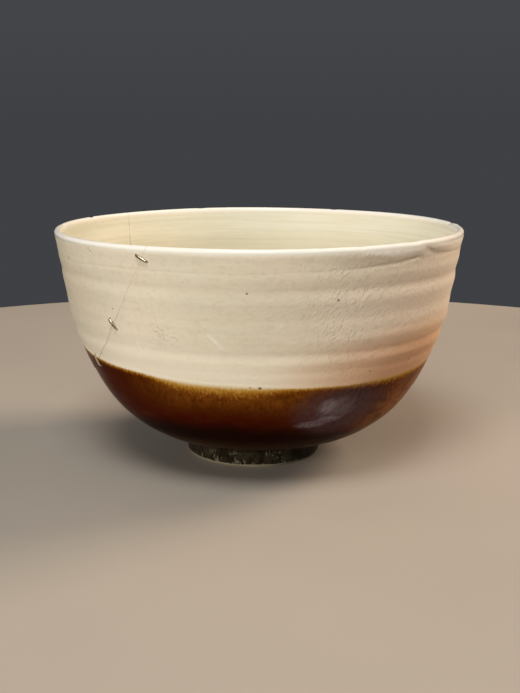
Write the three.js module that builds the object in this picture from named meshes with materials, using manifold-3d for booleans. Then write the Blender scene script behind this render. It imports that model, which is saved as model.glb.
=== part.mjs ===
// A wheel-thrown tea bowl on a small foot ring. A piece of its wall broke out long ago and was
// set back with a line of lacquer and bent wire staples, whose legs sit in blind drilled holes.
// Millimetres, +Z up. The origin is on the surface the bowl stands on, on the axis of the rim.

import * as THREE from "three";
import { mergeVertices } from "three/addons/utils/BufferGeometryUtils.js";
import Module from "manifold-3d";

const wasm = await Module();
wasm.setup();

const radians = THREE.MathUtils.degToRad;

// Driving dimensions of the bowl.
const RIM_RADIUS = 62.66;
const HEIGHT = 72.2;
const LIP_THICKNESS = 1.96;
const LIP_SLOPE = radians(80);
const INNER_LIP_SLOPE = radians(78);
const HIP_RADIUS = 50.9;
const HIP_HEIGHT = 27.1;
const HIP_SLOPE = radians(63.4);
const HIP_THICKNESS = 4.2;
const FLOOR_HEIGHT = 10.4;
const UNDERSIDE_HEIGHT = 7.0;

// How far the curves of the section keep their direction at the lip and at the hip, and the
// radius out to which the underside and the inner floor stay nearly level.
const LIP_HANDLE = 22;
const WALL_HANDLE = 19;
const INNER_WALL_HANDLE = 18;
const UNDERSIDE_HANDLE = 9.5;
const INNER_FLOOR_HANDLE = 12;
const UNDERSIDE_FLAT = 36.6;
const FLOOR_FLAT = 26;

// Driving dimensions of the foot ring, which was turned a little off the bowl's axis.
const FOOT_RADIUS = 21.4;
const FOOT_OFFSET = -1.7;
const FOOT_RING_WIDTH = 4.1;
const FOOT_WALL_HEIGHT = 5.0;
const FOOT_CHAMFER = 0.9;
const FOOT_DRAFT = 0.2;
const FOOT_ROUNDING = 0.4;
const FOOT_GROOVE_DEPTH = 0.6;
const FOOT_GROOVE_WIDTH = 0.7;
const RECESS_DEPTH = 5.0;
const RECESS_FILLET = 1.2;

// Driving dimensions of the repair.
const FILLER_WIDTH = 0.35;
const PIECE_GAP = 0.3;
const WIRE_RADIUS = 0.375;
const STAPLE_LENGTH = 4.4;
const STAPLE_BEND = 0.75;
const LEG_DEPTH = 1.2;
const HOLE_RADIUS = WIRE_RADIUS + PIECE_GAP;
const HOLE_DEPTH = LEG_DEPTH + PIECE_GAP;

// The break, from the rim at the front, under the sherd and up to the rim at the back. Each
// point is [azimuth in degrees, height], with azimuth 0 along +X and 270 at the front.
const BREAK_ROUTE = [
  [242, HEIGHT],
  [240.2, 68.5],
  [234.7, 59.7],
  [227.1, 49.1],
  [219.8, 41.5],
  [210, 34.8],
  [197, 30.2],
  [183, 28.6],
  [169, 31],
  [156, 37.5],
  [146, 47],
  [140.5, 58],
  [138.6, HEIGHT],
];
const BREAK_STEPS = 36;
const SHERD_AZIMUTH = radians(190);
const BREAK_EYE_HEIGHT = 48;

// Staples lie across the break. A tilt of 0 is level, and a positive one drops to the right.
const STAPLES = [
  { name: "staple_front_upper", azimuth: 240.5, height: 68.9, tilt: 27 },
  { name: "staple_front_middle", azimuth: 227.3, height: 49.2, tilt: 51 },
  { name: "staple_front_lower", azimuth: 211.2, height: 35.6, tilt: 84 },
  { name: "staple_back_lower", azimuth: 173.5, height: 29.8, tilt: 95 },
  { name: "staple_back_middle", azimuth: 150.3, height: 42.3, tilt: 140 },
  { name: "staple_back_upper", azimuth: 140.1, height: 60.5, tilt: 170 },
];

const LATHE_SEGMENTS = 64;
const CURVE_POINTS = 6;
const LIP_POINTS = 4;
const WIRE_STEPS = 16;
const HOLE_SEGMENTS = 10;

const polar = (length, angle) =>
  new THREE.Vector2(Math.cos(angle), Math.sin(angle)).multiplyScalar(length);

// The outside of the wall, as two curves that share a tangent at the hip.
const hip = new THREE.Vector2(HIP_RADIUS, HIP_HEIGHT);
const lipOuter = new THREE.Vector2(RIM_RADIUS, HEIGHT - LIP_THICKNESS / 2);
const undersideCurve = new THREE.CubicBezierCurve(
  new THREE.Vector2(FOOT_RADIUS + FOOT_ROUNDING, UNDERSIDE_HEIGHT),
  new THREE.Vector2(UNDERSIDE_FLAT, UNDERSIDE_HEIGHT),
  hip.clone().sub(polar(UNDERSIDE_HANDLE, HIP_SLOPE)),
  hip,
);
const wallCurve = new THREE.CubicBezierCurve(
  hip,
  hip.clone().add(polar(WALL_HANDLE, HIP_SLOPE)),
  lipOuter.clone().sub(polar(LIP_HANDLE, LIP_SLOPE)),
  lipOuter,
);

// The inside follows it, thick over the foot and thin at the lip.
const innerHip = hip.clone().add(polar(HIP_THICKNESS, HIP_SLOPE + Math.PI / 2));
const lipInner = lipOuter.clone().sub(new THREE.Vector2(LIP_THICKNESS, 0));
const innerWallCurve = new THREE.CubicBezierCurve(
  lipInner,
  lipInner.clone().sub(polar(LIP_HANDLE, INNER_LIP_SLOPE)),
  innerHip.clone().add(polar(INNER_WALL_HANDLE, HIP_SLOPE)),
  innerHip,
);
const innerFloorCurve = new THREE.CubicBezierCurve(
  innerHip,
  innerHip.clone().sub(polar(INNER_FLOOR_HANDLE, HIP_SLOPE)),
  new THREE.Vector2(FLOOR_FLAT, FLOOR_HEIGHT),
  new THREE.Vector2(0, FLOOR_HEIGHT),
);

// Profile points from the underside, up the outside, over the lip and down to the floor.
function bowlProfile() {
  const lipCentre = lipOuter.clone().add(lipInner).multiplyScalar(0.5);
  const lip = new THREE.EllipseCurve(
    lipCentre.x, lipCentre.y, LIP_THICKNESS / 2, LIP_THICKNESS / 2, 0, Math.PI,
  );
  const curves = [undersideCurve, wallCurve, lip, innerWallCurve, innerFloorCurve];
  const points = curves.flatMap((curve, index) => {
    const sampled = curve.getPoints(curve === lip ? LIP_POINTS : CURVE_POINTS);
    return index === 0 ? sampled : sampled.slice(1);
  });
  points.unshift(new THREE.Vector2(0, UNDERSIDE_HEIGHT));
  points.at(-1).x = 0;
  return points;
}

// Foot profile: recess floor, fillet, resting face, chamfer, wall, incised line and neck. Its
// top is buried a little way in the bowl.
function footProfile() {
  const inner = FOOT_RADIUS - FOOT_RING_WIDTH;
  const groove = FOOT_WALL_HEIGHT + FOOT_GROOVE_WIDTH / 2;
  const buried = 1;
  const fillet = new THREE.EllipseCurve(
    inner - RECESS_FILLET, RECESS_DEPTH - RECESS_FILLET, RECESS_FILLET, RECESS_FILLET,
    Math.PI / 2, 0, true,
  );
  return [
    new THREE.Vector2(0, RECESS_DEPTH),
    ...fillet.getPoints(3),
    new THREE.Vector2(inner + FOOT_DRAFT, FOOT_ROUNDING),
    new THREE.Vector2(inner + FOOT_DRAFT + FOOT_ROUNDING, 0),
    new THREE.Vector2(FOOT_RADIUS - FOOT_CHAMFER, 0),
    new THREE.Vector2(FOOT_RADIUS - FOOT_DRAFT, FOOT_CHAMFER),
    new THREE.Vector2(FOOT_RADIUS, FOOT_WALL_HEIGHT),
    new THREE.Vector2(FOOT_RADIUS - FOOT_GROOVE_DEPTH, groove),
    new THREE.Vector2(FOOT_RADIUS - FOOT_DRAFT / 2, FOOT_WALL_HEIGHT + FOOT_GROOVE_WIDTH),
    new THREE.Vector2(FOOT_RADIUS, UNDERSIDE_HEIGHT),
    new THREE.Vector2(FOOT_RADIUS - buried, UNDERSIDE_HEIGHT + buried),
    new THREE.Vector2(0, UNDERSIDE_HEIGHT + buried),
  ];
}

// A closed three.js geometry as a manifold-3d solid, and back.
function toSolid(geometry) {
  const bare = geometry.clone();
  bare.deleteAttribute("normal");
  bare.deleteAttribute("uv");
  const merged = mergeVertices(bare, 1e-4);
  return new wasm.Manifold(new wasm.Mesh({
    numProp: 3,
    vertProperties: merged.attributes.position.array,
    triVerts: new Uint32Array(merged.index.array),
  }));
}

function toGeometry(solid) {
  const { vertProperties, triVerts } = solid.getMesh();
  const geometry = new THREE.BufferGeometry();
  geometry.setAttribute("position", new THREE.BufferAttribute(vertProperties, 3));
  geometry.setIndex(new THREE.BufferAttribute(triVerts, 1));
  geometry.computeVertexNormals();
  return geometry;
}

// LatheGeometry turns about Y, so the turned shape is stood up to turn about Z.
function turned(profile) {
  return new THREE.LatheGeometry(profile, LATHE_SEGMENTS).rotateX(Math.PI / 2);
}

// The whole bowl before it broke.
function wholeBowl() {
  const foot = turned(footProfile()).translate(FOOT_OFFSET, 0, 0);
  return toSolid(turned(bowlProfile())).add(toSolid(foot));
}

// Outer radius and steepness of the wall at a height.
function wallAt(height) {
  const curve = height < HIP_HEIGHT ? undersideCurve : wallCurve;
  let low = 0;
  let high = 1;
  for (let i = 0; i < 30; i += 1) {
    const middle = (low + high) / 2;
    if (curve.getPoint(middle).y < height) low = middle;
    else high = middle;
  }
  const point = curve.getPoint(low);
  const tangent = curve.getTangent(low);
  return { radius: point.x, slope: Math.atan2(tangent.y, tangent.x) };
}

// The break flattened out, moved outward by a distance: x is the way round the wall and y the
// height. Its open top is carried on well above the rim.
function breakOutline(sideways) {
  const flat = BREAK_ROUTE.map(([azimuth, height]) => {
    const around = radians(azimuth) - SHERD_AZIMUTH;
    return new THREE.Vector2(around * RIM_RADIUS, height);
  });
  const route = new THREE.SplineCurve(flat);
  const edge = [];
  for (let i = 0; i <= BREAK_STEPS; i += 1) {
    const point = route.getPointAt(i / BREAK_STEPS);
    const tangent = route.getTangentAt(i / BREAK_STEPS);
    edge.push(new THREE.Vector2(point.x - tangent.y * sideways, point.y + tangent.x * sideways));
  }
  const overshoot = 12;
  const above = HEIGHT + overshoot;
  edge.unshift(new THREE.Vector2(edge[0].x, above));
  edge.push(new THREE.Vector2(edge.at(-1).x, above));
  return edge;
}

// A cutter round the sherd. Its sides run outward from a point on the bowl's axis, the eye of
// the break, so that the break crosses the wall squarely.
function breakCutter(sideways) {
  const near = RIM_RADIUS * 0.4;
  const far = RIM_RADIUS * 1.5;
  const outline = breakOutline(sideways).map(({ x, y }) => {
    const around = x / RIM_RADIUS;
    const reach = wallAt(Math.min(y, lipOuter.y)).radius * Math.cos(around);
    return new THREE.Vector2(Math.tan(around), (y - BREAK_EYE_HEIGHT) / reach);
  });
  const cutter = new THREE.ExtrudeGeometry(new THREE.Shape(outline), {
    depth: far - near,
    bevelEnabled: false,
    steps: 1,
  });
  const corner = new THREE.Vector3();
  const position = cutter.attributes.position;
  for (let i = 0; i < position.count; i += 1) {
    corner.fromBufferAttribute(position, i);
    const reach = corner.z + near;
    position.setXYZ(i, reach, corner.x * reach, corner.y * reach + BREAK_EYE_HEIGHT);
  }
  return toSolid(cutter.rotateZ(SHERD_AZIMUTH));
}

// Where a staple sits: its middle on the wall, its bar across local X, local Z out of the wall.
function stapleSeat({ azimuth, height, tilt }) {
  const { radius, slope } = wallAt(height);
  const angle = radians(azimuth);
  const outward = new THREE.Vector3(Math.cos(angle), Math.sin(angle), 0);
  const around = new THREE.Vector3(-Math.sin(angle), Math.cos(angle), 0);
  const normal = outward.clone().multiplyScalar(Math.sin(slope));
  normal.z = -Math.cos(slope);
  const up = new THREE.Vector3().crossVectors(normal, around);
  const lean = radians(tilt);
  const bar = around.clone().multiplyScalar(Math.cos(lean));
  bar.addScaledVector(up, -Math.sin(lean));
  const side = new THREE.Vector3().crossVectors(normal, bar);
  const seat = new THREE.Matrix4().makeBasis(bar, side, normal);
  return seat.setPosition(outward.x * radius, outward.y * radius, height);
}

// A wire bent square: two legs into the wall and a straight bar that clears it.
function stapleGeometry() {
  const reach = STAPLE_LENGTH / 2 - WIRE_RADIUS;
  const top = PIECE_GAP + WIRE_RADIUS;
  const corners = [[-reach, -LEG_DEPTH], [-reach, top], [reach, top], [reach, -LEG_DEPTH]];
  const [foot1, bend1, bend2, foot2] = corners.map(([x, z]) => new THREE.Vector3(x, 0, z));
  const down = new THREE.Vector3(0, 0, -STAPLE_BEND);
  const along = new THREE.Vector3(STAPLE_BEND, 0, 0);
  const shoulder1 = bend1.clone().add(down);
  const shoulder2 = bend2.clone().add(down);
  const bar1 = bend1.clone().add(along);
  const bar2 = bend2.clone().sub(along);
  const wire = new THREE.CurvePath();
  wire.add(new THREE.LineCurve3(foot1, shoulder1));
  wire.add(new THREE.QuadraticBezierCurve3(shoulder1, bend1, bar1));
  wire.add(new THREE.LineCurve3(bar1, bar2));
  wire.add(new THREE.QuadraticBezierCurve3(bar2, bend2, shoulder2));
  wire.add(new THREE.LineCurve3(shoulder2, foot2));
  const section = new THREE.Shape().absarc(0, 0, WIRE_RADIUS, 0, 2 * Math.PI);
  return new THREE.ExtrudeGeometry(section, {
    extrudePath: wire,
    steps: WIRE_STEPS,
    curveSegments: 4,
  });
}

// The two blind holes under a staple, drilled square to the wall.
function stapleHoles(seat) {
  const reach = STAPLE_LENGTH / 2 - WIRE_RADIUS;
  const overshoot = 1;
  return [-reach, reach].map((x) => {
    const drill = new THREE.CylinderGeometry(
      HOLE_RADIUS, HOLE_RADIUS, HOLE_DEPTH + overshoot, HOLE_SEGMENTS,
    );
    drill.rotateX(Math.PI / 2).translate(x, 0, (overshoot - HOLE_DEPTH) / 2);
    return toSolid(drill.applyMatrix4(seat));
  });
}

// Finishes. The cream glaze covers the wall, and wire and lacquer belong to the repair.
const creamGlaze = new THREE.MeshStandardMaterial({ color: 0xd9cdb4, roughness: 0.2 });
const sherdGlaze = new THREE.MeshStandardMaterial({ color: 0xd6c8ac, roughness: 0.2 });
const lacquer = new THREE.MeshStandardMaterial({ color: 0x6b5540, roughness: 0.6 });
const bronzeWire = new THREE.MeshStandardMaterial({
  color: 0x7a6238, roughness: 0.35, metalness: 1,
});

function namedMesh(name, geometry, material) {
  const mesh = new THREE.Mesh(geometry, material);
  mesh.name = name;
  return mesh;
}

function buildBowl() {
  const group = new THREE.Group();
  const edge = FILLER_WIDTH / 2;
  const whole = wholeBowl();
  let body = whole.subtract(breakCutter(edge + PIECE_GAP));
  let sherd = whole.intersect(breakCutter(-edge - PIECE_GAP));
  const filler = whole.intersect(breakCutter(edge)).subtract(breakCutter(-edge));

  for (const staple of STAPLES) {
    const seat = stapleSeat(staple);
    for (const hole of stapleHoles(seat)) {
      body = body.subtract(hole);
      sherd = sherd.subtract(hole);
    }
    const mesh = namedMesh(staple.name, stapleGeometry(), bronzeWire);
    seat.decompose(mesh.position, mesh.quaternion, mesh.scale);
    group.add(mesh);
  }

  group.add(namedMesh("bowl_body", toGeometry(body), creamGlaze));
  group.add(namedMesh("stapled_sherd", toGeometry(sherd), sherdGlaze));
  group.add(namedMesh("seam_lacquer", toGeometry(filler), lacquer));
  return group;
}

export default buildBowl();
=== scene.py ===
"""A glazed stoneware tea bowl with a stapled repair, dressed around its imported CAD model.

Lengths in the shape code are millimetres in the frame's own axes. Azimuths are degrees round +Z,
with 0 along +X and 270 at the front, as in the CAD model.
"""

import math

import bpy
import numpy as np
from mathutils import Euler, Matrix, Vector


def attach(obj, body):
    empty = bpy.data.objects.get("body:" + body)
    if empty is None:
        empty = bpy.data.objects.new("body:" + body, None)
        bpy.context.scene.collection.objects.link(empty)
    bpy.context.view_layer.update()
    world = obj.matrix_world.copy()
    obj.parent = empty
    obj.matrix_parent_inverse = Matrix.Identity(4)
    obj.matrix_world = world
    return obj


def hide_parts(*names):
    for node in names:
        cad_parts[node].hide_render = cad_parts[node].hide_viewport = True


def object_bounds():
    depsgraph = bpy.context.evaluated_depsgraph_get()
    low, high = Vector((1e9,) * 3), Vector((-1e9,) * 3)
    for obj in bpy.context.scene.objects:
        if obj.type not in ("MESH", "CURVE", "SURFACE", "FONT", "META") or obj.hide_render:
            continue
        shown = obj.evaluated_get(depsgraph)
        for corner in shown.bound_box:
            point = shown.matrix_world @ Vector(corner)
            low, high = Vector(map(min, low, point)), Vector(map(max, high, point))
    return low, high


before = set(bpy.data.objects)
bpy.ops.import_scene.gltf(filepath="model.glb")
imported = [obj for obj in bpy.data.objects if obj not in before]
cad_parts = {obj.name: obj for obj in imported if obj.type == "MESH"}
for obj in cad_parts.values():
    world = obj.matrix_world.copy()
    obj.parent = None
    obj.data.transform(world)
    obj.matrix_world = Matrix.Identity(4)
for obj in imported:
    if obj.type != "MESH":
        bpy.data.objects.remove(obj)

MM = 0.001
cad_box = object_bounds()

# Driving dimensions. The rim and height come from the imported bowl, the rest repeat its design.
RIM_RADIUS = (cad_box[1].x - cad_box[0].x) / 2 / MM
HEIGHT = cad_box[1].z / MM
LIP_THICKNESS = 1.96
LIP_SLOPE = math.radians(80)
INNER_LIP_SLOPE = math.radians(78)
HIP = np.array([50.9, 27.1])
HIP_SLOPE = math.radians(63.4)
HIP_THICKNESS = 4.2
FLOOR_HEIGHT = 10.4
UNDERSIDE_HEIGHT = 7.0
FOOT_RADIUS = 21.4
FOOT_OFFSET = -1.7
FOOT_RING_WIDTH = 4.1
FOOT_ROUNDING = 0.4
RECESS_DEPTH = 5.0
RECESS_FILLET = 1.2
RECESS_CROWN = 0.25

# How far the section's curves keep their direction at the lip and at the hip, and the radius out
# to which the underside and the inner floor stay nearly level.
LIP_HANDLE = 22
WALL_HANDLE = 19
INNER_WALL_HANDLE = 18
UNDERSIDE_HANDLE = 9.5
INNER_FLOOR_HANDLE = 12
UNDERSIDE_FLAT = 36.6
FLOOR_FLAT = 26

# The break, as (azimuth, height) from the front rim, under the sherd, to the back rim.
BREAK_ROUTE = [
    (242, HEIGHT), (240.2, 68.5), (234.7, 59.7), (227.1, 49.1), (219.8, 41.5), (210, 34.8),
    (197, 30.2), (183, 28.6), (169, 31), (156, 37.5), (146, 47), (140.5, 58), (138.6, HEIGHT),
]
BREAK_EYE = 48.0
SHERD_AZIMUTH = 190.0
SEAM_WIDTH = 0.10
LACQUER_CLEARANCE = 0.008
SHERD_PROUD = 0.13

# Staples as azimuth, height and tilt, as in the CAD model.
STAPLES = {
    "staple_front_upper": (240.5, 68.9, 27),
    "staple_front_middle": (227.3, 49.2, 51),
    "staple_front_lower": (211.2, 35.6, 84),
    "staple_back_lower": (173.5, 29.8, 95),
    "staple_back_middle": (150.3, 42.3, 140),
    "staple_back_upper": (140.1, 60.5, 170),
}
STAPLE_LENGTH = 4.4
WIRE_RADIUS = 0.375
STAPLE_REACH = STAPLE_LENGTH / 2 - WIRE_RADIUS
STAPLE_BEND = 0.62
STAPLE_BOW = 0.05
BAR_HEIGHT = 0.40
LEG_DEPTH = 1.1

# Rings left by the potter's fingers: height, half width and how far they stand out. They are
# strongest at the right of the front.
RINGS = [
    (64.2, 1.5, 0.14), (60.6, 1.2, -0.26), (57.5, 1.4, 0.15), (53.2, 1.6, -0.14),
    (49.9, 1.2, 0.06), (46.8, 1.7, 0.22), (42.9, 1.1, -0.27), (40.3, 1.0, 0.15),
    (37.6, 0.9, -0.15), (30.5, 2.0, 0.06), (24.0, 1.6, -0.07), (17.5, 1.3, 0.06),
    (13.0, 1.0, -0.07),
]
RING_AZIMUTH = 312.0
RING_DRIFT = 0.5
SPIRAL_PITCHES = (2.3, 7.1)

# The line under the lip, as (azimuth, height). It runs once round and misses its own start,
# where a finger pinched the lip.
LIP_LINE = [
    (315.5, 71.2), (317.5, 69.9), (322, 68.4), (330, 67.7), (343, 67.3), (380, 66.7), (450, 66.3),
    (540, 65.7), (573, 65.1), (590, 65.8), (626, 65.7), (655, 66.5), (667, 67.2), (675.5, 68.2),
]
LIP_LINE_WIDTH = 0.45
LIP_HOLLOW_WIDTH = 1.1
LIP_ROLL_HEIGHT = 69.9
LIP_ROLL_WIDTH = 1.1
LIP_BLEND = 1.2

# Nicks, dips and two raised bits along the lip: azimuth, half width and depth.
RIM_MARKS = [
    (155.4, 0.9, 0.30), (178, 1.0, 0.26), (7.5, 1.4, 0.34), (2.0, 1.2, -0.14),
    (295.4, 0.8, 0.16), (317, 1.5, -0.14), (312, 1.8, 0.10), (64, 1.1, 0.15), (110, 1.4, 0.12),
]

# The brown glaze's upper edge is a slightly tipped plane, because the bowl was dipped by hand.
DIP_HEIGHT = 36.9
DIP_TILT = 3.8
DIP_AZIMUTH = 118.3
GLAZE_STEP = 0.07

# Columns and rows of the fine meshes. The rows crowd at the tip of the break and on the lip.
COLUMNS = 384
SHERD_COLUMNS = 150
TIP_ROWS = 12
WALL_ROWS = 84
LIP_ROWS = 8
BELOW_ROWS = 33
FLOOR_ROWS = 23
TIP_REACH = 3.0

# The table top's radius, small enough for the dim room to show behind the bowl's rim.
FLOOR_RADIUS = 290.0
FLOOR_CORNERS = 192

# Lights: azimuth, elevation, watts, colour and whether the glaze mirrors them.
LIGHTS = {
    "key": (260, 60, 9.8, (0.98, 1.0, 0.99), True),
    "low_fill": (235, 12, 9.4, (1.0, 1.0, 0.985), False),
    "warm_side": (20, 33, 15.5, (1.0, 0.82, 0.64), False),
}
LIGHT_DISTANCE = 1.3
LIGHT_SIZE = 0.5

# The camera's distance and height in rim radii, and its downward tilt in degrees.
CAMERA_BACK = 5.166
CAMERA_UP = 1.676
CAMERA_ASIDE = 0.3
CAMERA_TILT = 12.5
CAMERA_LENS = 54.08
CAMERA_SENSOR = 36


# --- Outline of the bowl ---

def polar(length, angle):
    return length * np.array([math.cos(angle), math.sin(angle)])


def bezier(corners, count):
    t = np.linspace(0, 1, count)[:, None]
    a, b, c, d = corners
    return (1 - t) ** 3 * a + 3 * (1 - t) ** 2 * t * b + 3 * (1 - t) * t ** 2 * c + t ** 3 * d


def smooth(value):
    value = np.clip(value, 0, 1)
    return value * value * (3 - 2 * value)


class Outline:
    """The turned section from the top of the foot, over the lip, to the middle of the floor.

    A place on it is its distance along the section, so rows can be set where they are needed.
    """

    def __init__(self):
        half = LIP_THICKNESS / 2
        outer_end = np.array([RIM_RADIUS, HEIGHT - half])
        inner_end = outer_end - np.array([LIP_THICKNESS, 0])
        inner_hip = HIP + polar(HIP_THICKNESS, HIP_SLOPE + math.pi / 2)
        underside = bezier([
            np.array([FOOT_RADIUS + FOOT_ROUNDING, UNDERSIDE_HEIGHT]),
            np.array([UNDERSIDE_FLAT, UNDERSIDE_HEIGHT]),
            HIP - polar(UNDERSIDE_HANDLE, HIP_SLOPE),
            HIP,
        ], 300)
        wall = bezier([
            HIP, HIP + polar(WALL_HANDLE, HIP_SLOPE),
            outer_end - polar(LIP_HANDLE, LIP_SLOPE), outer_end,
        ], 500)
        turn = np.linspace(0, math.pi, 120)[:, None]
        lip = (outer_end + inner_end) / 2 + half * np.hstack([np.cos(turn), np.sin(turn)])
        inner_wall = bezier([
            inner_end, inner_end - polar(LIP_HANDLE, INNER_LIP_SLOPE),
            inner_hip + polar(INNER_WALL_HANDLE, HIP_SLOPE), inner_hip,
        ], 500)
        floor = bezier([
            inner_hip, inner_hip - polar(INNER_FLOOR_HANDLE, HIP_SLOPE),
            np.array([FLOOR_FLAT, FLOOR_HEIGHT]), np.array([0, FLOOR_HEIGHT]),
        ], 400)
        points = np.vstack([underside, wall[1:], lip[1:], inner_wall[1:], floor[1:]])
        steps = np.hypot(*np.diff(points, axis=0).T)
        self.along = np.concatenate([[0], np.cumsum(steps)])
        self.radius, self.height = points.T
        tangent = np.gradient(points, self.along, axis=0)
        tangent /= np.linalg.norm(tangent, axis=1)[:, None]
        self.normal = np.stack([tangent[:, 1], -tangent[:, 0]], axis=1)
        self.length = self.along[-1]
        self.wall_end = self.along[len(underside) + len(wall) - 2]
        self.inner_start = self.wall_end + math.pi * half
        # Slope of the line from the eye on the axis. The break is square along such lines.
        self.slope = (self.height - BREAK_EYE) / np.maximum(self.radius, 1)
        self.top = int(np.argmax(self.slope))

    def at(self, along):
        """Radius, height and outward normal at distances along the section."""
        curves = (self.radius, self.height, *self.normal.T)
        return [np.interp(along, self.along, curve) for curve in curves]

    def outer_at_height(self, height):
        outer = slice(0, self.top + 1)
        return np.interp(height, self.height[outer], self.along[outer])

    def outer_at_slope(self, slope):
        outer = slice(0, self.top + 1)
        return np.interp(slope, np.maximum.accumulate(self.slope[outer]), self.along[outer])

    def inner_at_slope(self, slope):
        inner = slice(self.top, None)
        falling = np.minimum.accumulate(self.slope[inner])
        return np.interp(-slope, -falling, self.along[inner])

    def slope_at(self, along):
        return np.interp(along, self.along, self.slope)


outline = Outline()


# --- The break ---

def spline(points, per_span):
    """Points on a uniform Catmull-Rom curve, as the CAD model's own break."""
    padded = np.vstack([2 * points[0] - points[1], points, 2 * points[-1] - points[-2]])
    t = np.linspace(0, 1, per_span, endpoint=False)[:, None]
    spans = []
    for a, b, c, d in zip(padded, padded[1:], padded[2:], padded[3:]):
        spans.append(0.5 * (2 * b + (c - a) * t + (2 * a - 5 * b + 4 * c - d) * t ** 2
                            + (3 * b - a - 3 * c + d) * t ** 3))
    return np.vstack([*spans, points[-1:]])


def wobble(along, waves):
    """A sum of sine waves, each given as its length, size and phase."""
    return sum(size * np.sin(2 * math.pi * along / length + phase)
               for length, size, phase in waves)


def break_path(sideways):
    """Azimuths in radians and slopes along the break, moved away from the sherd by sideways."""
    flat = np.array([
        (math.radians(azimuth - SHERD_AZIMUTH) * RIM_RADIUS, height)
        for azimuth, height in BREAK_ROUTE
    ])
    route = spline(flat, 40)
    steps = np.hypot(*np.diff(route, axis=0).T)
    along = np.concatenate([[0], np.cumsum(steps)])
    tangent = np.gradient(route, along, axis=0)
    tangent /= np.linalg.norm(tangent, axis=1)[:, None]
    away = np.stack([-tangent[:, 1], tangent[:, 0]], axis=1)
    jagged = wobble(along, [(17, 0.16, 0.4), (6.3, 0.09, 1.7), (2.9, 0.05, 0.2)])
    route = route + away * (sideways + jagged)[:, None]
    azimuth = route[:, 0] / RIM_RADIUS + math.radians(SHERD_AZIMUTH)
    return azimuth, outline.slope_at(outline.outer_at_height(route[:, 1]))


# --- Relief of the thrown and glazed surface ---

def angle_from(theta, azimuth):
    """Signed angle from an azimuth in degrees, in radians, between -pi and pi."""
    return (theta - math.radians(azimuth) + math.pi) % (2 * math.pi) - math.pi


def bell(offset, width):
    """1 at no offset, and nearly 0 at twice the width."""
    return np.exp(-(offset / width) ** 2)


def lumps(theta, height, size, seed, stretch=1.0):
    """Smooth random lumps, between about -0.6 and 0.6, seamless all the way round the wall."""
    columns = round(2 * math.pi * RIM_RADIUS / size / stretch)
    rows = round(HEIGHT / size) + 5
    values = np.random.default_rng(seed).uniform(-1, 1, (rows, columns))
    u = theta / (2 * math.pi) * columns
    v = height / size + 1.5
    column, row = np.floor(u).astype(int), np.floor(v).astype(int)
    total = 0.0
    for j, row_share in enumerate(spline_shares(v - row)):
        for i, column_share in enumerate(spline_shares(u - column)):
            value = values[(row + j) % rows, (column + i) % columns]
            total = total + value * row_share * column_share
    return total


def spline_shares(t):
    """How much each of four neighbours counts in a cubic B-spline."""
    return [
        (1 - t) ** 3 / 6,
        (3 * t ** 3 - 6 * t ** 2 + 4) / 6,
        (-3 * t ** 3 + 3 * t ** 2 + 3 * t + 1) / 6,
        t ** 3 / 6,
    ]


def dip_line(theta):
    return DIP_HEIGHT + DIP_TILT * np.cos(angle_from(theta, DIP_AZIMUTH))


def lip_line(theta, height):
    """The incised line under the lip, deep where it starts and ends and faint elsewhere."""
    azimuths, heights = np.array(LIP_LINE).T
    start = azimuths[0]
    turned = np.degrees(theta - math.radians(start)) % 360
    level = np.interp(turned, azimuths - start, heights)
    from_pinch = np.abs(angle_from(theta, start))
    depth = 0.05 + 0.23 * bell(from_pinch, 0.30)
    hollow = smooth((16 - turned) / 12)
    width = LIP_LINE_WIDTH + (LIP_HOLLOW_WIDTH - LIP_LINE_WIDTH) * hollow
    ends = smooth(turned / 2.5) * smooth((360 - turned) / 2.5)
    return -depth * ends * bell(height - level, width)


def outer_relief(theta, height):
    """Throwing rings, the rolled lip with its line, and the step where the cream glaze ends."""
    near_right = np.cos(angle_from(theta, RING_AZIMUTH))
    strength = 0.44 + 0.56 * smooth((near_right - 0.70) / 0.25)
    uneven = 1 + 0.8 * lumps(theta, height, size=17, seed=3, stretch=1.6)
    level = height + RING_DRIFT * np.sin(angle_from(theta, 310))
    rings = sum(out * bell(level - at, width) for at, width, out in RINGS)
    rolled = 0.03 + 0.11 * smooth(near_right)
    lip_roll = rolled * bell(height - LIP_ROLL_HEIGHT, LIP_ROLL_WIDTH)
    broad = 0.08 * lumps(theta, height, size=12, seed=5, stretch=1.5)
    small = 0.055 * lumps(theta, height, size=5, seed=6)
    grain = 0.032 * lumps(theta, height, size=2.6, seed=7)
    cream_coat = GLAZE_STEP * (smooth((height - dip_line(theta)) / 0.8 + 0.5) - 1)
    wall_only = smooth((HEIGHT - 1 - height) / 3)
    return (strength * uneven * rings + lip_roll + lip_line(theta, height)
            + wall_only * (0.6 + 0.4 * strength) * (broad + small + grain) + cream_coat)


def inner_relief(theta, height):
    """A fine and a broad spiral left by the potter's fingers, which fade at the floor."""
    spiral = height + 0.5 * theta / math.pi
    fine_pitch, broad_pitch = SPIRAL_PITCHES
    fine = 0.05 * np.sin(2 * math.pi * spiral / fine_pitch) * smooth((height - 14) / 8)
    broad = 0.07 * np.sin(2 * math.pi * spiral / broad_pitch + 1.0) * smooth((height - 12) / 8)
    hand = 0.10 * lumps(theta, height, size=13, seed=11, stretch=1.6)
    return (fine + broad + hand) * smooth((HEIGHT - 1 - height) / 3)


def rim_drop(theta):
    """How far the lip falls below the highest point of the rim."""
    drop = 0.20 + 0.10 * np.sin(2 * theta + 0.6) + 0.06 * np.sin(5 * theta + 2.1)
    for azimuth, half_width, depth in RIM_MARKS:
        drop = drop + depth * bell(angle_from(theta, azimuth) * RIM_RADIUS, half_width)
    return np.maximum(drop, 0.0)


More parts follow.
